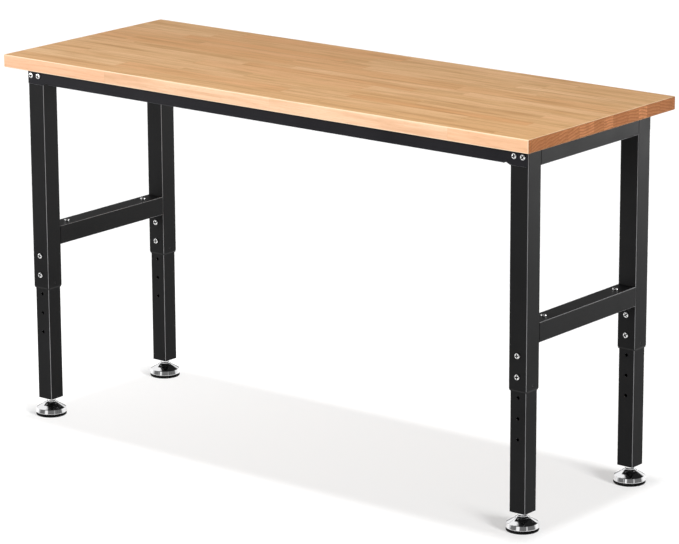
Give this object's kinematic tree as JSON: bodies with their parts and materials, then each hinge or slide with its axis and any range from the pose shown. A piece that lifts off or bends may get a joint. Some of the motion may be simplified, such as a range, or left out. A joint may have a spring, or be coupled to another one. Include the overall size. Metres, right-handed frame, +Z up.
{
  "type": "height-adjustable workbench",
  "caption": "Workbench with a glued wooden top on a black steel frame, telescoping legs locked by bolts, and levelling feet.",
  "frame": {"origin": "on the floor, under the middle of the worktop", "axes": "+X along the bench to its right end, -Y to its front, +Z up"},
  "size_m": [1.6, 0.59, 0.94],
  "materials": {
    "oiled_wood": "glued staves, sanded and oiled",
    "black_powder_coat": "fine black powder coat, satin",
    "black_plastic": "moulded black plastic",
    "zinc_plate": "bright zinc plate",
    "chrome_plate": "polished chrome plate",
    "black_rubber": "moulded black rubber"
  },
  "bodies": {
    "frame": {"worktop": "oiled_wood", "front_rail": "black_powder_coat", "back_rail": "black_powder_coat", "left_top_rail": "black_powder_coat", "right_top_rail": "black_powder_coat", "left_lower_rail": "black_powder_coat", "right_lower_rail": "black_powder_coat", "front_left_outer_leg": "black_powder_coat", "front_right_outer_leg": "black_powder_coat", "back_left_outer_leg": "black_powder_coat", "back_right_outer_leg": "black_powder_coat", "front_left_guide_bush": "black_plastic", "front_right_guide_bush": "black_plastic", "back_left_guide_bush": "black_plastic", "back_right_guide_bush": "black_plastic", "front_left_lock_bolt_upper": "zinc_plate", "front_left_lock_bolt_lower": "zinc_plate", "front_right_lock_bolt_upper": "zinc_plate", "front_right_lock_bolt_lower": "zinc_plate", "back_left_lock_bolt_upper": "zinc_plate", "back_left_lock_bolt_lower": "zinc_plate", "back_right_lock_bolt_upper": "zinc_plate", "back_right_lock_bolt_lower": "zinc_plate", "front_left_rail_screw_outer": "zinc_plate", "front_left_rail_screw_inner": "zinc_plate", "front_right_rail_screw_outer": "zinc_plate", "front_right_rail_screw_inner": "zinc_plate", "back_left_rail_screw_outer": "zinc_plate", "back_left_rail_screw_inner": "zinc_plate", "back_right_rail_screw_outer": "zinc_plate", "back_right_rail_screw_inner": "zinc_plate", "front_left_side_bolt": "zinc_plate", "front_right_side_bolt": "zinc_plate", "back_left_side_bolt": "zinc_plate", "back_right_side_bolt": "zinc_plate", "front_left_wood_screw": "zinc_plate", "front_right_wood_screw": "zinc_plate", "back_left_wood_screw": "zinc_plate", "back_right_wood_screw": "zinc_plate"},
    "front_left_leg": {"front_left_inner_leg": "black_powder_coat", "front_left_end_plug": "black_plastic"},
    "front_right_leg": {"front_right_inner_leg": "black_powder_coat", "front_right_end_plug": "black_plastic"},
    "back_left_leg": {"back_left_inner_leg": "black_powder_coat", "back_left_end_plug": "black_plastic"},
    "back_right_leg": {"back_right_inner_leg": "black_powder_coat", "back_right_end_plug": "black_plastic"},
    "front_left_foot": {"front_left_foot_cup": "chrome_plate", "front_left_foot_pad": "black_rubber"},
    "front_right_foot": {"front_right_foot_cup": "chrome_plate", "front_right_foot_pad": "black_rubber"},
    "back_left_foot": {"back_left_foot_cup": "chrome_plate", "back_left_foot_pad": "black_rubber"},
    "back_right_foot": {"back_right_foot_cup": "chrome_plate", "back_right_foot_pad": "black_rubber"},
    "front_left_stud": {"front_left_foot_stud": "zinc_plate"},
    "front_right_stud": {"front_right_foot_stud": "zinc_plate"},
    "back_left_stud": {"back_left_foot_stud": "zinc_plate"},
    "back_right_stud": {"back_right_foot_stud": "zinc_plate"}
  },
  "joints": [
    {"name": "front_left_leg_slide", "type": "slide", "parent": "frame", "child": "front_left_leg", "axis": [0, 0, 1], "range_m": [0, 0.15]},
    {"name": "front_right_leg_slide", "type": "slide", "parent": "frame", "child": "front_right_leg", "axis": [0, 0, 1], "range_m": [0, 0.15]},
    {"name": "back_left_leg_slide", "type": "slide", "parent": "frame", "child": "back_left_leg", "axis": [0, 0, 1], "range_m": [0, 0.15]},
    {"name": "back_right_leg_slide", "type": "slide", "parent": "frame", "child": "back_right_leg", "axis": [0, 0, 1], "range_m": [0, 0.15]},
    {"name": "front_left_foot_slide", "type": "slide", "parent": "front_left_leg", "child": "front_left_foot", "axis": [0, 0, -1], "range_m": [0, 0.025]},
    {"name": "front_right_foot_slide", "type": "slide", "parent": "front_right_leg", "child": "front_right_foot", "axis": [0, 0, -1], "range_m": [0, 0.025]},
    {"name": "back_left_foot_slide", "type": "slide", "parent": "back_left_leg", "child": "back_left_foot", "axis": [0, 0, -1], "range_m": [0, 0.025]},
    {"name": "back_right_foot_slide", "type": "slide", "parent": "back_right_leg", "child": "back_right_foot", "axis": [0, 0, -1], "range_m": [0, 0.025]},
    {"name": "front_left_stud_turn", "type": "hinge", "parent": "front_left_foot", "child": "front_left_stud", "pos_m": [-0.74, -0.22, 0.06], "axis": [0, 0, 1], "range_deg": [0, 5150]},
    {"name": "front_right_stud_turn", "type": "hinge", "parent": "front_right_foot", "child": "front_right_stud", "pos_m": [0.74, -0.22, 0.06], "axis": [0, 0, 1], "range_deg": [0, 5150]},
    {"name": "back_left_stud_turn", "type": "hinge", "parent": "back_left_foot", "child": "back_left_stud", "pos_m": [-0.74, 0.22, 0.06], "axis": [0, 0, 1], "range_deg": [0, 5150]},
    {"name": "back_right_stud_turn", "type": "hinge", "parent": "back_right_foot", "child": "back_right_stud", "pos_m": [0.74, 0.22, 0.06], "axis": [0, 0, 1], "range_deg": [0, 5150]}
  ],
  "couplings": [
    {"joint": "front_left_stud_turn", "follows": "front_left_foot_slide", "rad_per_m": 3590.4},
    {"joint": "front_right_stud_turn", "follows": "front_right_foot_slide", "rad_per_m": 3590.4},
    {"joint": "back_left_stud_turn", "follows": "back_left_foot_slide", "rad_per_m": 3590.4},
    {"joint": "back_right_stud_turn", "follows": "back_right_foot_slide", "rad_per_m": 3590.4}
  ]
}
